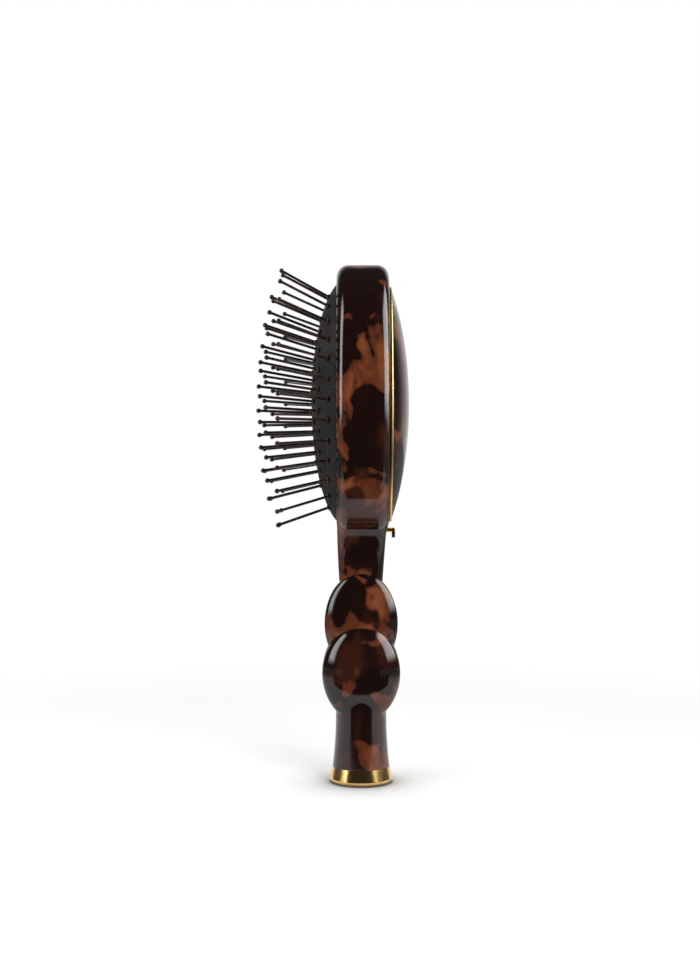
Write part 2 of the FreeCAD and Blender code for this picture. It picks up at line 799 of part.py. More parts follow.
def make_tie_rod():
    """The rod that draws the handle together, its insert in the neck and its washer and nut."""
    rod = upright_cylinder("tie_rod", "dim.rod_radius", "dim.rod_bottom", "dim.rod_top - dim.rod_bottom")
    finish("tie_rod", rod)
    sleeve = upright_cylinder("insert_sleeve", "dim.insert_radius", "dim.insert_bottom", "dim.insert_length")
    bore = upright_cylinder("insert_bore", "dim.thread_bore", "dim.insert_bottom", "dim.insert_length")
    finish("neck_insert", cut("neck_insert", sleeve, bore))

    disc = upright_cylinder("washer_disc", "dim.washer_radius", "dim.washer_bottom", "dim.washer_thickness")
    hole = upright_cylinder("washer_hole", "dim.rod_bore", "dim.washer_bottom", "dim.washer_thickness")
    finish("rod_washer", cut("rod_washer", disc, hole))

    prism = add(
        "Part::Prism",
        "nut_prism",
        {
            "Circumradius": "dim.nut_half_flats / cos(30 deg)",
            "Height": "dim.nut_height",
            "Placement.Base.z": "dim.nut_bottom",
        },
    )
    prism.Polygon = 6
    tapped = upright_cylinder("nut_thread", "dim.thread_bore", "dim.nut_bottom", "dim.nut_height")
    finish("rod_nut", cut("rod_nut", prism, tapped))


def make_foot():
    """The metal foot that plugs into the stem, the ballast inside it and the pad under it."""
    cone = add(
        "Part::Cone",
        "foot_cone",
        {
            "Radius1": "dim.foot_radius",
            "Radius2": "dim.stem_foot_radius",
            "Height": "dim.foot_height - dim.foot_lift",
            "Placement.Base.z": "dim.foot_lift",
        },
    )

    def at_bottom(edge):
        """Whether an edge of the cone is the round one at its foot."""
        return edge.isClosed() and edge.BoundBox.ZMax < size("foot_floor")

    soft = rounded("foot_body", cone, size("foot_edge_radius"), at_bottom)
    rise = "dim.spigot_top - dim.foot_floor"
    spigot = upright_cylinder("foot_spigot", "dim.foot_spigot_radius", "dim.foot_floor", rise)
    cup = upright_cylinder("foot_cup", "dim.foot_cup_radius", "dim.foot_floor", rise)
    recess = upright_cylinder("foot_recess", "dim.foot_recess_radius", "0", "dim.foot_pad_thickness")
    finish("foot_cap", cut("foot_cap", fuse("foot_solid", soft, spigot), cup, recess))
    ballast = upright_cylinder("foot_ballast", "dim.ballast_radius", "dim.foot_floor", "dim.ballast_height")
    finish("foot_ballast", ballast)
    finish("foot_pad", upright_cylinder("foot_pad", "dim.foot_pad_radius", "0", "dim.foot_pad_thickness"))


def check_and_write():
    """Stops on any failed object or bad shape, then writes each sub-part to its own file."""
    doc.recompute()
    for obj in doc.Objects:
        if "Invalid" in obj.State or "Error" in obj.State:
            raise RuntimeError(f"{obj.Name} failed: {obj.State}")
    for name, obj in parts.items():
        if obj.Shape.isNull() or not obj.Shape.isValid() or not obj.Shape.Solids:
            raise RuntimeError(f"{name} has no sound shape")
    os.makedirs("parts", exist_ok=True)
    for name, obj in parts.items():
        obj.Shape.exportStep(f"parts/{name}.step")


make_head_shell()
make_cushion(make_pins())
make_back_cover()
make_cover_screws()
make_trim_ring()
make_neck_hook()
make_upper_bulb()
make_lower_bulb()
make_tie_rod()
make_foot()
check_and_write()
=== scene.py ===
"""Looks of a standing detangling brush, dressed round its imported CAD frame."""

import logging
import math
from dataclasses import dataclass
from enum import Enum
from functools import cached_property
from typing import Any, ClassVar, Dict, Iterable, List, Optional, Sequence, Tuple, Union

import bmesh
import bpy
from mathutils import Matrix, Vector
from mathutils.kdtree import KDTree


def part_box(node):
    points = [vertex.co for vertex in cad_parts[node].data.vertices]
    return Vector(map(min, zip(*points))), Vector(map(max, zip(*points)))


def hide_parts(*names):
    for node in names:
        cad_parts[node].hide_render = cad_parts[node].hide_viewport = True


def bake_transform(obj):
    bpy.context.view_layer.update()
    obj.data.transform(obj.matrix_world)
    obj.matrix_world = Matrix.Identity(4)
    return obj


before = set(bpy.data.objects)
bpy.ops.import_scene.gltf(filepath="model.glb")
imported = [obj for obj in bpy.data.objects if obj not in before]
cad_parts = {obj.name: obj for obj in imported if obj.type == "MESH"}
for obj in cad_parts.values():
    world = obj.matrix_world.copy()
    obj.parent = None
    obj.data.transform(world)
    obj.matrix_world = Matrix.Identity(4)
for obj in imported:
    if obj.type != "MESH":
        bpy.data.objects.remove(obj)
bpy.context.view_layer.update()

LOG = logging.getLogger("detangling_brush")

MM = 0.001
QUARTER_TURN = math.pi / 2

Colour = Tuple[float, float, float]
Triple = Tuple[float, float, float]
Number = Union[int, float]


def srgb(red: Number, green: Number, blue: Number) -> Colour:
    """Turn a colour on the 0 to 255 screen scale into linear light.

    Args:
        red: Red on the screen scale.
        green: Green on the screen scale.
        blue: Blue on the screen scale.

    Returns:
        The colour in linear light.
    """

    def linear(value: Number) -> float:
        """Give one channel in linear light."""
        share = value / 255.0
        return share / 12.92 if share <= 0.04045 else ((share + 0.055) / 1.055) ** 2.4

    return linear(red), linear(green), linear(blue)


class Wire:
    """A node's output socket that takes part in Python arithmetic."""

    def __init__(self, bench: "Bench", socket: Optional[bpy.types.NodeSocket]) -> None:
        """Keep the socket, which a closing node lacks, and the bench that adds its Math nodes."""
        self.bench = bench
        self.socket = socket

    def maths(self, operation: str, *others: Union["Wire", Number]) -> "Wire":
        """Add a Math node that starts from this wire.

        Args:
            operation: The Math node's operation.
            others: The node's further values.

        Returns:
            The wire that carries the result.
        """
        inputs = dict(enumerate((self,) + others))
        return self.bench.node("ShaderNodeMath", {"operation": operation}, inputs)

    def __add__(self, other: Union["Wire", Number]) -> "Wire":
        """Add a value."""
        return self.maths("ADD", other)

    def __radd__(self, other: Number) -> "Wire":
        """Add to a number."""
        return self.maths("ADD", other)

    def __sub__(self, other: Union["Wire", Number]) -> "Wire":
        """Take a value away."""
        return self.maths("SUBTRACT", other)

    def __rsub__(self, other: Number) -> "Wire":
        """Take this wire away from a number."""
        return (self * -1.0) + other

    def __mul__(self, other: Union["Wire", Number]) -> "Wire":
        """Multiply by a value."""
        return self.maths("MULTIPLY", other)

    def __rmul__(self, other: Number) -> "Wire":
        """Multiply a number."""
        return self.maths("MULTIPLY", other)

    def sine(self) -> "Wire":
        """Give the sine of this wire."""
        return self.maths("SINE")

    def larger(self, other: Union["Wire", Number]) -> "Wire":
        """Give the larger of this wire and a value."""
        return self.maths("MAXIMUM", other)

    def ramp(self, low: Number, high: Number, start: Number = 0.0, end: Number = 1.0) -> "Wire":
        """Map this wire smoothly from one span to another.

        Args:
            low: The value at which the ramp starts.
            high: The value at which the ramp ends.
            start: What the ramp gives at and before low.
            end: What the ramp gives at and after high.

        Returns:
            The mapped wire.
        """
        settings = {"interpolation_type": "SMOOTHSTEP"}
        inputs = {"Value": self, "From Min": low, "From Max": high, "To Min": start, "To Max": end}
        return self.bench.node("ShaderNodeMapRange", settings, inputs)


Feed = Union[Wire, Number, Sequence[float]]


class Bench:
    """One node tree and the ways to put nodes into it."""

    COLUMN = 190.0

    def __init__(self, tree: bpy.types.NodeTree) -> None:
        """Clear a tree and start on it.

        Args:
            tree: The tree that the nodes go into.
        """
        self.tree = tree
        self.tree.nodes.clear()
        self.count = 0

    def node(
        self,
        kind: str,
        settings: Optional[Dict[str, Any]] = None,
        inputs: Optional[Dict[Union[int, str], Feed]] = None,
        output: Union[int, str] = 0,
    ) -> Wire:
        """Add a node, set it up, feed it and give one of its outputs.

        Args:
            kind: The node's type.
            settings: Properties that are set first.
            inputs: Values or wires by socket name or number.
            output: The output that the wire carries.

        Returns:
            The wire on that output, with no socket on a node that has none.
        """
        made = self.tree.nodes.new(kind)
        made.location = (self.COLUMN * self.count, 0.0)
        self.count += 1
        for name, value in (settings or {}).items():
            setattr(made, name, value)
        for key, value in (inputs or {}).items():
            if isinstance(value, Wire):
                self.tree.links.new(value.socket, made.inputs[key])
            else:
                made.inputs[key].default_value = value
        return Wire(self, made.outputs[output] if made.outputs else None)

    def place(
        self,
        shift: Triple = (0.0, 0.0, 0.0),
        turn: Triple = (0.0, 0.0, 0.0),
        stretch: Triple = (1.0, 1.0, 1.0),
    ) -> Wire:
        """Give the piece's own coordinates, moved, turned and stretched.

        Args:
            shift: How far the pattern moves, in metres.
            turn: How far it turns, in radians.
            stretch: What it is multiplied by.

        Returns:
            The wire with the coordinates.
        """
        own = self.node("ShaderNodeTexCoord", output="Object")
        inputs = {"Vector": own, "Location": shift, "Rotation": turn, "Scale": stretch}
        return self.node("ShaderNodeMapping", {"vector_type": "POINT"}, inputs)

    def noise(
        self,
        where: Wire,
        scale: float,
        detail: float = 2.0,
        roughness: float = 0.5,
        distortion: float = 0.0,
        output: str = "Fac",
    ) -> Wire:
        """Add cloudy noise.

        Args:
            where: Coordinates.
            scale: Clouds per metre.
            detail: Octaves.
            roughness: How strong the finer octaves are.
            distortion: How much the clouds twist.
            output: "Fac" or "Color".

        Returns:
            The noise.
        """
        inputs = {
            "Vector": where,
            "Scale": scale,
            "Detail": detail,
            "Roughness": roughness,
            "Distortion": distortion,
        }
        return self.node("ShaderNodeTexNoise", {"noise_dimensions": "3D"}, inputs, output)

    def warp(self, where: Wire, scale: float, reach: float) -> Wire:
        """Push coordinates about with noise.

        Args:
            where: Coordinates.
            scale: Waves per metre.
            reach: How far a point may move, in metres.

        Returns:
            The moved coordinates.
        """
        middle = (0.5, 0.5, 0.5)
        push = self.noise(where, scale, output="Color")
        centred = self.node("ShaderNodeVectorMath", {"operation": "SUBTRACT"}, {0: push, 1: middle})
        inputs = {0: centred, "Scale": 2.0 * reach}
        scaled = self.node("ShaderNodeVectorMath", {"operation": "SCALE"}, inputs)
        return self.node("ShaderNodeVectorMath", {"operation": "ADD"}, {0: where, 1: scaled})

    def axis(self, where: Wire, name: str) -> Wire:
        """Give one coordinate, X, Y or Z."""
        return self.node("ShaderNodeSeparateXYZ", None, {"Vector": where}, name)

    def mix(
        self,
        share: Union[Wire, Number],
        first: Union[Wire, Colour],
        second: Union[Wire, Colour],
    ) -> Wire:
        """Mix two colours.

        Args:
            share: How much of the second colour shows.
            first: The first colour.
            second: The second colour.

        Returns:
            The mixed colour.
        """

        def full(colour: Union[Wire, Colour]) -> Feed:
            """Give a colour with its alpha."""
            return colour if isinstance(colour, Wire) else (*colour, 1.0)

        # The Mix node has a set of sockets for each kind of data: 6 and 7 take colours and 2 gives one.
        inputs = {0: share, 6: full(first), 7: full(second)}
        return self.node("ShaderNodeMix", {"data_type": "RGBA", "blend_type": "MIX"}, inputs, 2)

    def bump(self, height: Wire, reach: float, strength: float) -> Wire:
        """Turn a height into a normal.

        Args:
            height: The height, 0 to 1.
            reach: The height of 1, in metres.
            strength: How much of the bump shows.

        Returns:
            The normal.
        """
        inputs = {"Height": height, "Distance": reach, "Strength": strength}
        return self.node("ShaderNodeBump", None, inputs)

    def rays(self) -> Tuple[Wire, Wire]:
        """Tell the rays apart that a floor or a world answers in its own way.

        Returns:
            A wire that is 1 for the eye, also through clear pieces, and one that is 1 for mirrors.
        """
        seen = self.node("ShaderNodeLightPath", output="Is Camera Ray")
        through = self.node("ShaderNodeLightPath", output="Is Transmission Ray")
        glossy = self.node("ShaderNodeLightPath", output="Is Glossy Ray")
        return seen.larger(through), glossy

    def surface(self, **sockets: Feed) -> None:
        """Close the tree with a Principled surface.

        Args:
            sockets: The shader's sockets, with underscores for spaces.
        """
        inputs = {name.replace("_", " "): value for name, value in sockets.items()}
        self.close(self.node("ShaderNodeBsdfPrincipled", None, inputs))

    def close(self, shader: Wire) -> None:
        """Close a material's tree with a shader."""
        self.node("ShaderNodeOutputMaterial", None, {"Surface": shader})


def new_material(name: str) -> Tuple[bpy.types.Material, Bench]:
    """Make an empty material.

    Args:
        name: The material's name.

    Returns:
        The material and the bench on its node tree.
    """
    made = bpy.data.materials.new(name)
    made.use_nodes = True
    return made, Bench(made.node_tree)


@dataclass(frozen=True)
class Finish:
    """A named surface finish that can make its material."""

    name: str

    def paint(self, bench: Bench) -> None:
        """Lay the finish's nodes on a bench; each kind of finish has its own."""
        raise NotImplementedError

    def material(self) -> bpy.types.Material:
        """Make the finish's material.

        Returns:
            The new material.
        """
        made, bench = new_material(self.name)
        self.paint(bench)
        return made


@dataclass(frozen=True)
class Tortoiseshell(Finish):
    """Polished acetate with amber clouds in near-black brown; thin leaves less of the amber."""

    shift: Triple
    turn: Triple
    thin: float = 0.0

    DARK: ClassVar[Colour] = srgb(22, 10, 8)
    DEEP: ClassVar[Colour] = srgb(54, 25, 16)
    RUST: ClassVar[Colour] = srgb(76, 37, 22)
    AMBER: ClassVar[Colour] = srgb(114, 62, 36)
    CLOUD_STRETCH: ClassVar[Triple] = (1.0, 1.0, 0.8)
    STREAK_TURN: ClassVar[Triple] = (0.9, 0.3, 0.4)
    STREAK_STRETCH: ClassVar[Triple] = (1.0, 1.0, 0.3)
    LEAF_SHARE: ClassVar[float] = 0.18
    ACETATE_IOR: ClassVar[float] = 1.49

    def paint(self, bench: Bench) -> None:
        """Lay leaf-like amber clouds with rusty edges over a deeper blurred layer.

        Args:
            bench: The bench of the finish's material.
        """
        where = bench.place(self.shift, self.turn, self.CLOUD_STRETCH)
        bent = bench.warp(where, scale=60.0, reach=6.0 * MM)
        curled = bench.warp(where, scale=90.0, reach=4.0 * MM)
        sunk = bench.warp(where, scale=50.0, reach=8.0 * MM)
        broad = bench.noise(bent, scale=68.0, detail=1.8, roughness=0.42, distortion=0.5)
        leaves = bench.noise(curled, scale=140.0, detail=2.0, roughness=0.45, distortion=0.4)
        below = bench.noise(sunk, scale=60.0, detail=1.5, roughness=0.4)
        height = broad * (1.0 - self.LEAF_SHARE) + leaves * self.LEAF_SHARE
        rust = height.ramp(0.51 + self.thin, 0.54 + self.thin)
        amber = height.ramp(0.53 + self.thin, 0.6 + self.thin)
        fade = bench.noise(bent, scale=88.0, detail=1.0, roughness=0.4).ramp(0.34, 0.64, start=0.12)
        drawn = bench.place(self.shift, self.STREAK_TURN, self.STREAK_STRETCH)
        streak = bench.noise(drawn, scale=420.0).ramp(0.2, 0.55, start=0.72)
        colour = bench.mix(below.ramp(0.5, 0.64, end=0.75), self.DARK, self.DEEP)
        colour = bench.mix(rust, colour, self.RUST)
        colour = bench.mix(amber * fade * streak, colour, self.AMBER)
        polish = bench.noise(where, scale=420.0, detail=3.0, roughness=0.6)
        ripple = bench.noise(where, scale=60.0, detail=1.0, roughness=0.4)
        bench.surface(
            Base_Color=colour,
            Roughness=polish.ramp(0.3, 0.7, start=0.06, end=0.1),
            IOR=self.ACETATE_IOR,
            Normal=bench.bump(ripple, reach=0.02 * MM, strength=0.4),
        )


@dataclass(frozen=True)
class PolishedGold(Finish):
    """Yellow gold plating with a faint drawn grain."""

    gloss: float = 0.14

    BRIGHT: ClassVar[Colour] = srgb(246, 206, 138)
    WARM: ClassVar[Colour] = srgb(236, 190, 118)
    GRAIN_STRETCH: ClassVar[Triple] = (1.0, 1.0, 14.0)
    WEAR: ClassVar[float] = 0.06

    def paint(self, bench: Bench) -> None:
        """Lay warm and bright plating over a fine drawn grain.

        Args:
            bench: The bench of the finish's material.
        """
        where = bench.place()
        tone = bench.noise(where, scale=160.0, detail=3.0).ramp(0.35, 0.68)
        grain = bench.noise(bench.place(stretch=self.GRAIN_STRETCH), scale=900.0, roughness=0.6)
        wear = bench.noise(where, scale=620.0, detail=4.0, roughness=0.6)
        bench.surface(
            Base_Color=bench.mix(tone, self.WARM, self.BRIGHT),
            Metallic=1.0,
            Roughness=wear.ramp(0.35, 0.75, start=self.gloss, end=self.gloss + self.WEAR),
            Normal=bench.bump(grain, reach=0.012 * MM, strength=0.35),
        )


@dataclass(frozen=True)
class WovenRubber(Finish):
    """Charcoal cushion rubber with a fine woven grain."""

    pitch: float = 1.15 * MM

    BASE: ClassVar[Colour] = srgb(56, 52, 48)
    GROOVE_SHADE: ClassVar[Colour] = srgb(5, 4, 4)
    DUST_AND_SHEEN: ClassVar[Colour] = srgb(62, 58, 54)
    DULL_SPECULAR: ClassVar[float] = 0.2
    SPECK_SHARE: ClassVar[float] = 0.25

    def paint(self, bench: Bench) -> None:
        """Lay crossed ridges, painted shade in the grooves between them and a dusty bloom that also paints
        a sheen on the ridge tops.

        Args:
            bench: The bench of the finish's material.
        """
        where = bench.place()
        turns = 2.0 * math.pi / self.pitch
        across = (bench.axis(where, "Y") * turns).sine()
        along = (bench.axis(where, "Z") * turns).sine()
        weave = across * along * 0.5 + 0.5
        bloom = bench.noise(where, scale=70.0, detail=4.0, roughness=0.6).ramp(0.42, 0.72, end=0.6)
        speck = bench.noise(where, scale=1500.0, roughness=0.6)
        # The weave's troughs are painted near-black as shade, and the pale dusty bloom goes on the ridge
        # tops only, which paints a highlight there.
        colour = bench.mix(weave.ramp(0.5, 0.92), self.GROOVE_SHADE, self.BASE)
        colour = bench.mix(bloom * weave, colour, self.DUST_AND_SHEEN)
        relief = weave + speck * self.SPECK_SHARE
        bench.surface(
            Base_Color=colour,
            Roughness=speck.ramp(0.3, 0.7, start=0.52, end=0.7),
            Specular_IOR_Level=self.DULL_SPECULAR,
            Normal=bench.bump(relief, reach=0.18 * MM, strength=0.9),
        )


@dataclass(frozen=True)
class PinNylon(Finish):
    """Black-brown moulded nylon, polished at the balls."""

    BASE: ClassVar[Colour] = srgb(20, 12, 10)
    WARM: ClassVar[Colour] = srgb(44, 27, 20)
    NYLON_IOR: ClassVar[float] = 1.53

    def paint(self, bench: Bench) -> None:
        """Lay a warm mottle and slightly uneven gloss.

        Args:
            bench: The bench of the finish's material.
        """
        where = bench.place()
        mottle = bench.noise(where, scale=120.0).ramp(0.42, 0.7)
        gloss = bench.noise(where, scale=300.0).ramp(0.3, 0.7, start=0.22, end=0.34)
        bench.surface(
            Base_Color=bench.mix(mottle, self.BASE, self.WARM),
            Roughness=gloss,
            IOR=self.NYLON_IOR,
        )


@dataclass(frozen=True)
class TurnedMetal(Finish):
    """Plain turned metal of an inner piece."""

    tone: Colour
    stain: Colour
    gloss: float
    grain: float

    WEAR: ClassVar[float] = 0.14

    def paint(self, bench: Bench) -> None:
        """Lay turning marks round the upright axis with a little staining.

        Args:
            bench: The bench of the finish's material.
        """
        drawn = bench.place(stretch=(1.0, 1.0, self.grain))
        rings = bench.noise(drawn, scale=520.0, detail=3.0, roughness=0.6)
        patch = bench.noise(bench.place(), scale=210.0, detail=4.0, roughness=0.6).ramp(0.45, 0.75)
        bench.surface(
            Base_Color=bench.mix(patch, self.tone, self.stain),
            Metallic=1.0,
            Roughness=rings.ramp(0.3, 0.7, start=self.gloss, end=self.gloss + self.WEAR),
            Normal=bench.bump(rings, reach=0.03 * MM, strength=0.5),
        )


@dataclass(frozen=True)
class PlainPolymer(Finish):
    """Moulded plastic or rubber of an inner or under piece."""

    tone: Colour
    bloom: Colour
    gloss: float
    texture: float

    WEAR: ClassVar[float] = 0.18

    def paint(self, bench: Bench) -> None:
        """Lay a moulded grain with a pale bloom.

        Args:
            bench: The bench of the finish's material.
        """
        where = bench.place()
        grain = bench.noise(where, scale=self.texture, roughness=0.6)
        patch = bench.noise(where, scale=130.0, detail=4.0, roughness=0.6).ramp(0.42, 0.72)
        bench.surface(
            Base_Color=bench.mix(patch, self.tone, self.bloom),
            Roughness=grain.ramp(0.3, 0.7, start=self.gloss, end=self.gloss + self.WEAR),
            Normal=bench.bump(grain, reach=0.05 * MM, strength=0.5),
        )


GOLD = PolishedGold("polished_gold")
SATIN_GOLD = PolishedGold("satin_gold", gloss=0.3)
PAD_RUBBER = WovenRubber("woven_cushion_rubber")
PIN_FINISH = PinNylon("black_brown_pin_nylon")
STEEL = TurnedMetal("bright_steel", srgb(190, 192, 196), srgb(150, 150, 154), gloss=0.24, grain=10.0)
BRASS = TurnedMetal("turned_brass", srgb(196, 160, 92), srgb(160, 122, 66), gloss=0.26, grain=12.0)
IRON = TurnedMetal("cast_iron", srgb(92, 90, 90), srgb(70, 62, 58), gloss=0.5, grain=1.0)
HOOP_PLASTIC = PlainPolymer("hoop_plastic", srgb(32, 30, 30), srgb(46, 44, 44), gloss=0.42, texture=900.0)
FOOT_RUBBER = PlainPolymer("foot_rubber", srgb(24, 24, 25), srgb(44, 43, 43), gloss=0.6, texture=1500.0)


def dress(node: str, material: bpy.types.Material) -> None:
    """Give a CAD node a better material.

    Args:
        node: The node's name.
        material: The material it gets.
    """
    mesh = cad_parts[node].data
    if not mesh.materials:
        mesh.materials.append(material)
    for slot in range(len(mesh.materials)):
        mesh.materials[slot] = material
    LOG.info("%s is dressed in %s", node, material.name)


def new_piece(name: str, work: bmesh.types.BMesh, *materials: bpy.types.Material) -> bpy.types.Object:
    """Make a smooth piece at the origin from a finished bmesh.

    Args:
        name: The piece's name.
        work: The mesh in hand, which is freed.
        materials: The piece's materials, in the order of its faces' numbers.

    Returns:
        The new object.
    """
    for face in work.faces:
        face.smooth = True
    mesh = bpy.data.meshes.new(name)
    work.to_mesh(mesh)
    work.free()
    for material in materials:
        mesh.materials.append(material)
    piece = bpy.data.objects.new(name, mesh)
    bpy.context.scene.collection.objects.link(piece)
    return piece


@dataclass(frozen=True)
class Pin:
    """One pin's ball end and the way it points, from root to ball."""

    tip: Vector
    way: Vector


@dataclass
class PinField:
    """The ball-tipped pins, all on one sprung body."""

    rings: Tuple[str, ...] = ("outer_pins", "second_pins", "third_pins", "centre_pin")
    ball_length: float = 2.4 * MM
    root_length: float = 0.6 * MM
    least_twin_offset: float = 4.0 * MM
    axis_rounds: int = 4

    def nodes(self) -> List[str]:
        """Name the pin nodes."""
        return sorted(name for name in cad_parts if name.startswith(self.rings))

    def pins(self) -> List[Pin]:
        """Find every pin."""
        return [pin for node in self.nodes() for pin in self.node_pins(node)]

    def node_pins(self, node: str) -> List[Pin]:
        """Find the pins of a pin node, which holds one pin or two mirror twins.

        Args:
            node: The node's name.

        Returns:
            The node's pins.
        """
        points = [vertex.co.copy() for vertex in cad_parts[node].data.vertices]
        if max(point.y for point in points) <= self.least_twin_offset:
            return [self.fit(points)]
        right = [point for point in points if point.y > 0]
        left = [point for point in points if point.y < 0]
        return [self.fit(right), self.fit(left)]

    def fit(self, points: List[Vector]) -> Pin:
        """Fit a pin's axis to its points, closer in each round.

        Args:
            points: The points of one pin's surface.

        Returns:
            The pin.
        """
        way = Vector((-1.0, 0.0, 0.0))
        tip = Vector()
        for _ in range(self.axis_rounds):
            reach = [point.dot(way) for point in points]
            far = max(reach)
            near = min(reach)
            ball = [point for point, along in zip(points, reach) if along > far - self.ball_length]
            root = [point for point, along in zip(points, reach) if along < near + self.root_length]
            ball_middle = sum(ball, Vector()) / len(ball)
            root_middle = sum(root, Vector()) / len(root)
            way = (ball_middle - root_middle).normalized()
            tip = root_middle + way * (far - near)
        return Pin(tip, way)

    def build(self) -> None:
        """Dress the pins."""
        material = PIN_FINISH.material()
        for node in self.nodes():
            dress(node, material)


@dataclass
class Cushion:
    """The domed rubber cushion that carries the pins."""

    front: float = -11.0 * MM
    crown: float = 11.3 * MM
    sink: float = 4.7 * MM
    middle: float = 170.2 * MM
    skirt: float = 7.0 * MM
    skirt_inset: float = 0.4 * MM
    collar_radius: float = 1.35 * MM
    collar_mouth: float = 0.95 * MM
    collar_rise: float = 0.8 * MM
    collar_sunk_share: float = 0.5
    collar_edge: float = 0.2 * MM
    collar_segments: int = 20
    edge_segments: int = 2
    level_tolerance: float = 0.01 * MM
    dimple: float = 0.35 * MM
    dimple_radius: float = 3.4 * MM
    bend: float = 5.5 * MM
    fill: float = 0.9
    segments: int = 192
    rings: int = 128

    @cached_property
    def half_sizes(self) -> Vector:
        """Work out the ellipsoid that the dome is cut from.

        Returns:
            The ellipsoid's half depth, half width and half length.
        """
        low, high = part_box("cushion_pad")
        depth = self.crown + self.sink
        spread = 1.0 / math.sqrt(1.0 - (self.sink / depth) ** 2)
        return Vector((depth, 0.5 * (high.y - low.y) * spread, 0.5 * (high.z - low.z) * spread))

    @cached_property
    def centre(self) -> Vector:
        """Give the middle of the ellipsoid that the dome is cut from."""
        low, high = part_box("cushion_pad")
        return Vector((self.front + self.sink, 0.0, 0.5 * (low.z + high.z)))

    def dome(self) -> bmesh.types.BMesh:
        """Shape the dome and its skirt.

        Returns:
            The mesh in hand.
        """
        work = bmesh.new()
        bmesh.ops.create_uvsphere(work, u_segments=self.segments, v_segments=self.rings, radius=1.0)
        turn = Matrix.Rotation(QUARTER_TURN, 3, "Y")
        bmesh.ops.rotate(work, verts=work.verts, cent=(0, 0, 0), matrix=turn)
        bmesh.ops.scale(work, verts=work.verts, vec=self.half_sizes)
        bmesh.ops.translate(work, verts=work.verts, vec=self.centre)
        bmesh.ops.bisect_plane(
            work,
            geom=work.verts[:] + work.edges[:] + work.faces[:],
            plane_co=(self.front, 0.0, 0.0),
            plane_no=(1, 0, 0),
            clear_outer=True,
        )
        rim = [edge for edge in work.edges if edge.is_boundary]
        pushed = bmesh.ops.extrude_edge_only(work, edges=rim)["geom"]
        edge_points = [item for item in pushed if isinstance(item, bmesh.types.BMVert)]
        bmesh.ops.translate(work, verts=edge_points, vec=(self.skirt, 0.0, 0.0))
        half = self.half_sizes
        pull = Vector((1.0, 1.0 - self.skirt_inset / half.y, 1.0 - self.skirt_inset / half.z))
        back = Matrix.Translation(-self.centre)
        bmesh.ops.scale(work, verts=edge_points, vec=pull, space=back)
        return work

    def root_on_dome(self, pin: Pin) -> Vector:
        """Find where a pin's axis meets the dome.

        Args:
            pin: The pin.

        Returns:
            The point on the dome.
        """
        half = self.half_sizes
        start = pin.tip - self.centre
        offset = Vector((start.x / half.x, start.y / half.y, start.z / half.z))
        along = Vector((-pin.way.x / half.x, -pin.way.y / half.y, -pin.way.z / half.z))
        square = along.dot(along)
        double = 2.0 * offset.dot(along)
        rest = offset.dot(offset) - 1.0
        root = math.sqrt(max(double * double - 4.0 * square * rest, 0.0))
        return pin.tip - pin.way * ((-double - root) / (2.0 * square))

    def collar(self, work: bmesh.types.BMesh, pin: Pin, root: Vector) -> None:
        """Raise a small tapered collar round a pin's root.

        Args:
            work: The mesh in hand.
            pin: The pin.
            root: Where the pin leaves the dome.
        """
        turn = pin.way.to_track_quat("Z", "Y").to_matrix().to_4x4()
        sunk = self.collar_sunk_share * self.collar_rise
        made = bmesh.ops.create_cone(
            work,
            cap_ends=True,
            segments=self.collar_segments,
            radius1=self.collar_radius,
            radius2=self.collar_mouth,
            depth=self.collar_rise + sunk,
            matrix=Matrix.Translation(root + pin.way * (0.5 * (self.collar_rise - sunk))) @ turn,
        )
        mouth = max(vertex.co.dot(pin.way) for vertex in made["verts"]) - self.level_tolerance
        lip = [
            edge
            for edge in {edge for vertex in made["verts"] for edge in vertex.link_edges}
            if all(vertex.co.dot(pin.way) > mouth for vertex in edge.verts)
        ]
        for face in {face for vertex in made["verts"] for face in vertex.link_faces}:
            face.material_index = 1
        bmesh.ops.bevel(
            work,
            geom=lip,
            offset=self.collar_edge,
            affect="EDGES",
            segments=self.edge_segments,
            profile=0.5,
            material=-1,
        )

    def press_dimples(self, work: bmesh.types.BMesh, roots: Sequence[Vector]) -> None:
        """Sink the dome smoothly round each pin's root.

        Args:
            work: The mesh in hand.
            roots: Where the pins leave the dome.
        """
        tree = KDTree(len(roots))
        for number, root in enumerate(roots):
            tree.insert(root, number)
        tree.balance()
        for vertex in work.verts:
            if vertex.co.x > self.front:
                continue
            distance = tree.find(vertex.co)[2]
            share = max(0.0, 1.0 - distance / self.dimple_radius)
            vertex.co.x += self.dimple * share * share * (3.0 - 2.0 * share)

    def build(self, pins: Iterable[Pin]) -> None:
        """Make the cushion with a dimple and a collar at each pin.

        Args:
            pins: The pins that it carries.
        """
        work = self.dome()
        roots = [(pin, self.root_on_dome(pin)) for pin in pins]
        self.press_dimples(work, [root for _, root in roots])
        for pin, root in roots:
            self.collar(work, pin, root)
        bmesh.ops.recalc_face_normals(work, faces=work.faces)
        piece = new_piece("cushion_dome", work, PAD_RUBBER.material(), PIN_FINISH.material())
        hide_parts("cushion_pad")
        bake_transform(piece)
        LOG.info("cushion_dome is made with %d collars", len(roots))


@dataclass
class Head:
    """The oval head with its neck, back cover, ring and hook."""

    shell: Tortoiseshell = Tortoiseshell(
        "tortoiseshell_head",
        shift=(0.504, 0.112, 0.134),
        turn=(0.5, 0.2, 0.3),
        thin=0.026,
    )
    cover: Tortoiseshell = Tortoiseshell(
        "tortoiseshell_cover",
        shift=(0.087, 0.041, 0.019),
        turn=(0.1, 0.4, 0.8),
    )

    def build(self) -> None:
        """Dress the head's pieces."""
        dress("head_shell", self.shell.material())
        dress("back_cover", self.cover.material())
        dress("trim_ring", SATIN_GOLD.material())
        dress("neck_hook", GOLD.material())
        dress("cushion_hoop", HOOP_PLASTIC.material())
        dress("cover_screws", STEEL.material())
        dress("neck_insert", BRASS.material())


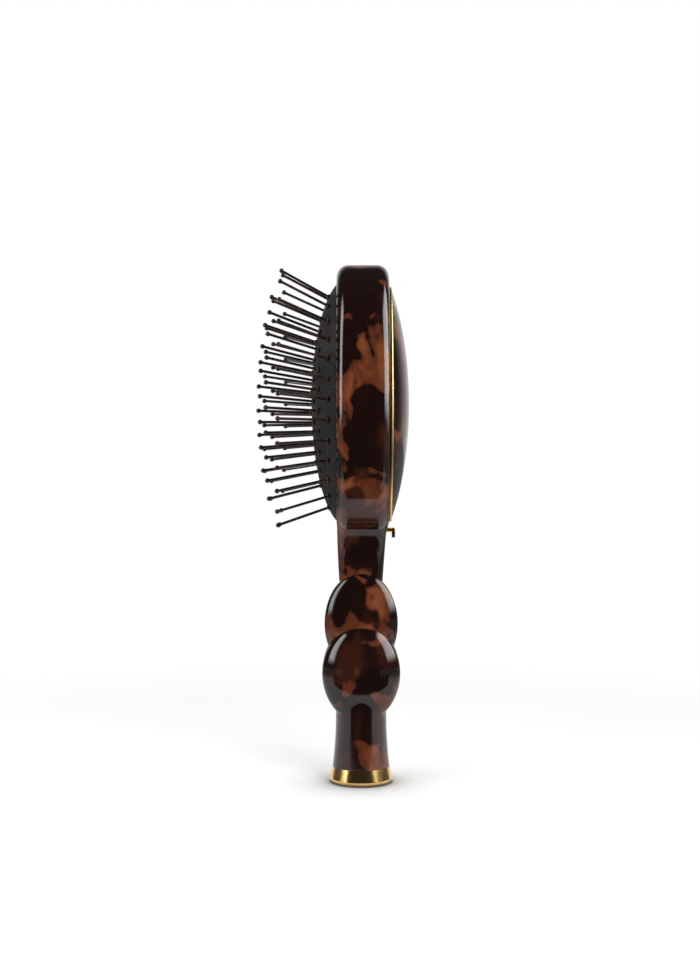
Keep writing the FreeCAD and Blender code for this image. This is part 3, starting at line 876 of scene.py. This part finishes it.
@dataclass
class Handle:
    """The two bulbs, the stem, the gold foot and the rod inside."""

    upper: Tortoiseshell = Tortoiseshell(
        "tortoiseshell_upper_bulb",
        shift=(1.135, 0.222, 0.497),
        turn=(0.7, 0.4, 0.2),
        thin=0.01,
    )
    lower: Tortoiseshell = Tortoiseshell(
        "tortoiseshell_lower_bulb",
        shift=(0.851, 0.167, 0.386),
        turn=(0.2, 0.3, 0.6),
        thin=0.01,
    )

    def build(self) -> None:
        """Dress the handle's pieces."""
        steel = STEEL.material()
        dress("upper_bulb", self.upper.material())
        dress("lower_bulb_stem", self.lower.material())
        dress("foot_cap", GOLD.material())
        for node in ("tie_rod", "rod_washer", "rod_nut"):
            dress(node, steel)
        dress("foot_ballast", IRON.material())
        dress("foot_pad", FOOT_RUBBER.material())


class Side(Enum):
    """Which side of the brush a panel stands on, as the sign of its X."""

    LEFT = -1
    RIGHT = 1


@dataclass(frozen=True)
class SoftBox:
    """One large soft light, which the camera and reflections don't see."""

    name: str
    place: Triple
    aim: Triple
    width: float
    height: float
    watts: float

    def build(self) -> None:
        """Hang the light."""
        lamp = bpy.data.lights.new(self.name, "AREA")
        lamp.shape = "RECTANGLE"
        lamp.size = self.width
        lamp.size_y = self.height
        lamp.energy = self.watts
        light = bpy.data.objects.new(self.name, lamp)
        light.location = self.place
        way = Vector(self.aim) - Vector(self.place)
        light.rotation_euler = way.to_track_quat("-Z", "Y").to_euler()
        light.visible_camera = False
        light.visible_glossy = False
        bpy.context.scene.collection.objects.link(light)
        LOG.info("%s is hung", self.name)


def upright_sheet(axis: str, size: Triple, middle: Triple) -> bmesh.types.BMesh:
    """Start an upright rectangle.

    Args:
        axis: The axis about which a level square turns to stand up.
        size: Its size along X, Y and Z, with 1 for its missing thickness.
        middle: Its middle.

    Returns:
        The mesh in hand.
    """
    work = bmesh.new()
    bmesh.ops.create_grid(work, x_segments=1, y_segments=1, size=0.5)
    turn = Matrix.Rotation(QUARTER_TURN, 3, axis)
    bmesh.ops.rotate(work, verts=work.verts, cent=(0, 0, 0), matrix=turn)
    bmesh.ops.scale(work, verts=work.verts, vec=size)
    bmesh.ops.translate(work, verts=work.verts, vec=middle)
    return work


def seen_by_gloss_only(piece: bpy.types.Object) -> None:
    """Let a studio piece show in reflections and nowhere else.

    Args:
        piece: The panel or board.
    """
    piece.visible_camera = False
    piece.visible_diffuse = False
    piece.visible_shadow = False
    piece.visible_transmission = False


@dataclass(frozen=True)
class GlossPanel:
    """A tall soft-edged panel beside the brush that its polish mirrors."""

    side: Side
    out: float
    front: float
    back: float
    foot: float
    top: float
    strength: float
    front_fade: float
    foot_fade: float
    top_fade: float

    def build(self) -> None:
        """Stand the panel, bright in the middle and fading at its front edge, foot and top."""
        name = f"{self.side.name.lower()}_panel"
        size = (1.0, self.back - self.front, self.top - self.foot)
        middle = (self.side.value * self.out, 0.5 * (self.back + self.front), 0.5 * (self.top + self.foot))
        made, bench = new_material(name)
        where = bench.place()
        along = bench.axis(where, "Y").ramp(self.front, self.front + self.front_fade)
        height = bench.axis(where, "Z")
        rise = height.ramp(self.foot, self.foot + self.foot_fade)
        fall = height.ramp(self.top - self.top_fade, self.top, start=1.0, end=0.0)
        strength = along * rise * fall * self.strength
        bench.close(bench.node("ShaderNodeEmission", None, {"Strength": strength}))
        seen_by_gloss_only(new_piece(name, upright_sheet("Y", size, middle), made))
        LOG.info("%s stands", name)


@dataclass
class Studio:
    """Floor, dark cards, world, lights and camera."""

    camera_place: Triple = (-0.005, -0.6075, 0.131)
    lens: float = 49.6
    sensor: float = 36.0
    floor_radius: float = 6.0
    floor_segments: int = 96
    floor_grey: float = 0.8
    floor_glow: float = 0.28
    floor_mirror: float = 0.24
    contact_reach: float = 0.03
    contact_closed: float = 0.4
    painted_shadow_darkest: float = 0.15
    contact_samples: int = 8
    shadow_reach: float = 0.16
    shadow_end: float = 0.42
    ambient: float = 0.35
    front: float = 0.05
    behind: float = 0.9
    behind_start: float = 0.55
    behind_full: float = 0.95
    card_grey: float = 0.01
    card_roughness: float = 0.9
    card_distance: float = 0.088
    card_half_width: float = 0.055
    card_corner: float = 0.03
    corner_share: float = 0.4
    corner_segments: int = 8
    card_top: float = 0.4
    wide_half_width: float = 0.115
    wide_foot: float = 0.05
    low_half_width: float = 0.125
    low_top: float = 0.036
    boxes: Tuple[SoftBox, ...] = (
        SoftBox(
            "left_box",
            place=(-0.5, -0.3, 0.3),
            aim=(0.0, 0.0, 0.13),
            width=0.6,
            height=0.55,
            watts=1.8,
        ),
        SoftBox(
            "right_box",
            place=(0.28, -0.55, 0.3),
            aim=(0.0, 0.0, 0.13),
            width=0.34,
            height=0.55,
            watts=3.2,
        ),
        SoftBox(
            "top_box",
            place=(0.0, 0.15, 0.9),
            aim=(0.0, 0.0, 0.15),
            width=0.7,
            height=0.7,
            watts=3.0,
        ),
    )
    panels: Tuple[GlossPanel, ...] = (
        GlossPanel(
            Side.LEFT,
            out=0.5,
            front=-0.4,
            back=-0.04,
            foot=0.08,
            top=0.85,
            strength=6.5,
            front_fade=0.16,
            foot_fade=0.1,
            top_fade=0.2,
        ),
        GlossPanel(
            Side.RIGHT,
            out=0.5,
            front=-0.6,
            back=0.2,
            foot=0.1,
            top=0.85,
            strength=6.5,
            front_fade=0.4,
            foot_fade=0.12,
            top_fade=0.24,
        ),
    )

    def floor(self) -> None:
        """Lay the pale floor, which keeps the brush's shadow and has a painted contact shadow round the
        foot.
        """
        work = bmesh.new()
        bmesh.ops.create_circle(
            work,
            cap_ends=True,
            segments=self.floor_segments,
            radius=self.floor_radius,
        )
        made, bench = new_material("pale_floor")
        eye, glossy = bench.rays()
        # Ambient occlusion darkens the floor's colour and glow near the foot: a painted contact shadow.
        settings = {"samples": self.contact_samples}
        inputs = {"Distance": self.contact_reach}
        open_share = bench.node("ShaderNodeAmbientOcclusion", settings, inputs, "AO")
        light = open_share.ramp(self.contact_closed, 1.0, start=self.painted_shadow_darkest)
        tone = bench.mix(light, (0.0, 0.0, 0.0), (self.floor_grey,) * 3)
        matt = bench.node("ShaderNodeBsdfDiffuse", None, {"Color": tone})
        mirrored = glossy * self.floor_mirror
        near_glow = light * eye * self.floor_glow + mirrored
        glow = bench.node("ShaderNodeEmission", None, {"Strength": near_glow})
        near = bench.node("ShaderNodeAddShader", None, {0: matt, 1: glow})
        far_glow = eye + mirrored + (1.0 - eye) * (1.0 - glossy) * self.ambient
        far = bench.node("ShaderNodeEmission", None, {"Strength": far_glow})
        inputs = {0: bench.place()}
        reach = bench.node("ShaderNodeVectorMath", {"operation": "LENGTH"}, inputs, "Value")
        share = reach.ramp(self.shadow_reach, self.shadow_end)
        bench.close(bench.node("ShaderNodeMixShader", None, {0: share, 1: near, 2: far}))
        new_piece("studio_floor", work, made)

    def board(
        self,
        name: str,
        half_width: float,
        foot: float,
        top: float,
        finish: bpy.types.Material,
    ) -> None:
        """Stand one dark board with round lower corners.

        Args:
            name: The board's name.
            half_width: Half its width.
            foot: The height of its lower edge.
            top: The height of its upper edge.
            finish: Its material.
        """
        tall = top - foot
        middle = (0.0, -self.card_distance, foot + 0.5 * tall)
        work = upright_sheet("X", (2.0 * half_width, 1.0, tall), middle)
        bmesh.ops.bevel(
            work,
            geom=[vertex for vertex in work.verts if vertex.co.z < foot + 0.5 * tall],
            offset=min(self.card_corner, self.corner_share * tall),
            affect="VERTICES",
            segments=self.corner_segments,
            profile=0.5,
            material=-1,
        )
        seen_by_gloss_only(new_piece(name, work, finish))
        LOG.info("%s stands", name)

    def card(self) -> None:
        """Stand the dark card in front, wider above and below, which only reflections see."""
        made, bench = new_material("dark_card")
        black = (self.card_grey, self.card_grey, self.card_grey, 1.0)
        bench.surface(Base_Color=black, Roughness=self.card_roughness)
        self.board("low_card", self.low_half_width, 0.0, self.low_top, made)
        self.board("narrow_card", self.card_half_width, 0.0, self.card_top, made)
        self.board("wide_card", self.wide_half_width, self.wide_foot, self.card_top, made)

    def world(self) -> None:
        """Light the room: white to the eye and behind, dark in front."""
        sky = bpy.data.worlds.new("studio_world")
        bpy.context.scene.world = sky
        sky.use_nodes = True
        bench = Bench(sky.node_tree)
        eye, glossy = bench.rays()
        depth = bench.axis(bench.node("ShaderNodeTexCoord", output="Generated"), "Y")
        back = depth.ramp(self.behind_start, self.behind_full, start=self.front, end=self.behind)
        strength = eye + glossy * back + (1.0 - eye) * (1.0 - glossy) * self.ambient
        inputs = {"Color": (1.0, 1.0, 1.0, 1.0), "Strength": strength}
        shine = bench.node("ShaderNodeBackground", None, inputs)
        bench.node("ShaderNodeOutputWorld", None, {"Surface": shine})

    def camera(self) -> None:
        """Set up the camera at the photograph's view."""
        lens = bpy.data.cameras.new("photo_camera")
        lens.lens = self.lens
        lens.sensor_fit = "VERTICAL"
        lens.sensor_height = self.sensor
        eye = bpy.data.objects.new("photo_camera", lens)
        eye.location = self.camera_place
        eye.rotation_euler = (QUARTER_TURN, 0.0, 0.0)
        bpy.context.scene.collection.objects.link(eye)
        bpy.context.scene.camera = eye

    def build(self) -> None:
        """Set up the whole studio."""
        bpy.context.scene.view_settings.view_transform = "Standard"
        self.camera()
        self.world()
        self.floor()
        self.card()
        for fitting in self.boxes + self.panels:
            fitting.build()
        LOG.info("the studio is set")


def main() -> None:
    """Build the brush and its studio in order."""
    logging.basicConfig(level=logging.INFO, format="%(name)s: %(message)s")
    Studio().build()
    pins = PinField()
    pins.build()
    Cushion().build(pins.pins())
    Head().build()
    Handle().build()


if __name__ == "__main__":
    main()
